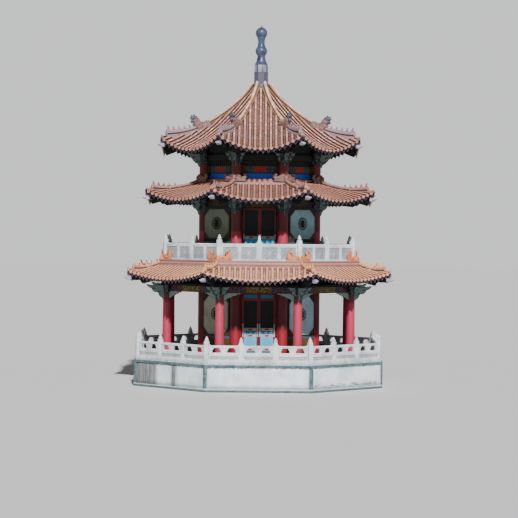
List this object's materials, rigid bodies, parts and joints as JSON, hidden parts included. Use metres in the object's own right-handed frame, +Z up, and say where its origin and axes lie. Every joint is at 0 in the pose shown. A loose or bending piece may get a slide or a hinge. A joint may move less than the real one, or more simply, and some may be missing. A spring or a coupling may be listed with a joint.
{
  "type": "pavilion",
  "caption": "Octagonal garden pavilion in masonry and timber: a railed podium, a colonnaded storey, a balcony storey and tiled roofs with upturned corners.",
  "frame": {"origin": "on the ground, under the middle of the podium", "axes": "+Z up along the axis of the octagon, -Y towards the front door, +X to the right seen from the front"},
  "size_m": [12.713, 12.713, 17.32],
  "materials": {
    "red_paint": "weathered matt red paint",
    "white_render": "rain-stained white render",
    "balustrade_stone": "pale grey-white stone",
    "roof_tile": "worn orange-brown glazed tile",
    "ridge_tile": "worn glazed ridge tile",
    "bracket_paint": "faded polychrome paint",
    "door_paint": "faded blue painted timber",
    "finial_glaze": "blue-grey glaze",
    "floor_stone": "plain paving"
  },
  "bodies": {
    "building": {"podium": "white_render", "podium_balustrade_front": "balustrade_stone", "podium_balustrade_front_right": "balustrade_stone", "podium_balustrade_right": "balustrade_stone", "podium_balustrade_back_right": "balustrade_stone", "podium_balustrade_back": "balustrade_stone", "podium_balustrade_back_left": "balustrade_stone", "podium_balustrade_left": "balustrade_stone", "podium_balustrade_front_left": "balustrade_stone", "outer_column_1": "red_paint", "outer_column_2": "red_paint", "outer_column_3": "red_paint", "outer_column_4": "red_paint", "outer_column_5": "red_paint", "outer_column_6": "red_paint", "outer_column_7": "red_paint", "outer_column_8": "red_paint", "inner_column_1": "red_paint", "inner_column_2": "red_paint", "inner_column_3": "red_paint", "inner_column_4": "red_paint", "inner_column_5": "red_paint", "inner_column_6": "red_paint", "inner_column_7": "red_paint", "inner_column_8": "red_paint", "outer_beam_ring": "bracket_paint", "lower_wall_front_right": "white_render", "lower_wall_back_right": "white_render", "lower_wall_back_left": "white_render", "lower_wall_front_left": "white_render", "front_door_frame": "red_paint", "lower_doorset_right": "red_paint", "lower_doorset_back": "red_paint", "lower_doorset_left": "red_paint", "balcony_slab": "floor_stone", "balcony_balustrade_front": "balustrade_stone", "balcony_balustrade_front_right": "balustrade_stone", "balcony_balustrade_right": "balustrade_stone", "balcony_balustrade_back_right": "balustrade_stone", "balcony_balustrade_back": "balustrade_stone", "balcony_balustrade_back_left": "balustrade_stone", "balcony_balustrade_left": "balustrade_stone", "balcony_balustrade_front_left": "balustrade_stone", "lower_roof": "roof_tile", "lower_roof_ridges": "ridge_tile", "upper_walls": "white_render", "upper_doors_front": "door_paint", "upper_doors_right": "door_paint", "upper_doors_back": "door_paint", "upper_doors_left": "door_paint", "middle_roof": "roof_tile", "middle_roof_ridges": "ridge_tile", "upper_roof": "roof_tile", "upper_roof_ridges": "ridge_tile", "finial": "finial_glaze"},
    "left_leaf": {"front_door_leaf_left": "door_paint"},
    "right_leaf": {"front_door_leaf_right": "door_paint"}
  },
  "joints": [
    {"name": "left_leaf_hinge", "type": "hinge", "parent": "building", "child": "left_leaf", "pos_m": [-0.78, -2.5, 1.348], "axis": [0, 0, 1], "range_deg": [0, 90]},
    {"name": "right_leaf_hinge", "type": "hinge", "parent": "building", "child": "right_leaf", "pos_m": [0.78, -2.5, 1.348], "axis": [0, 0, -1], "range_deg": [0, 90]}
  ]
}
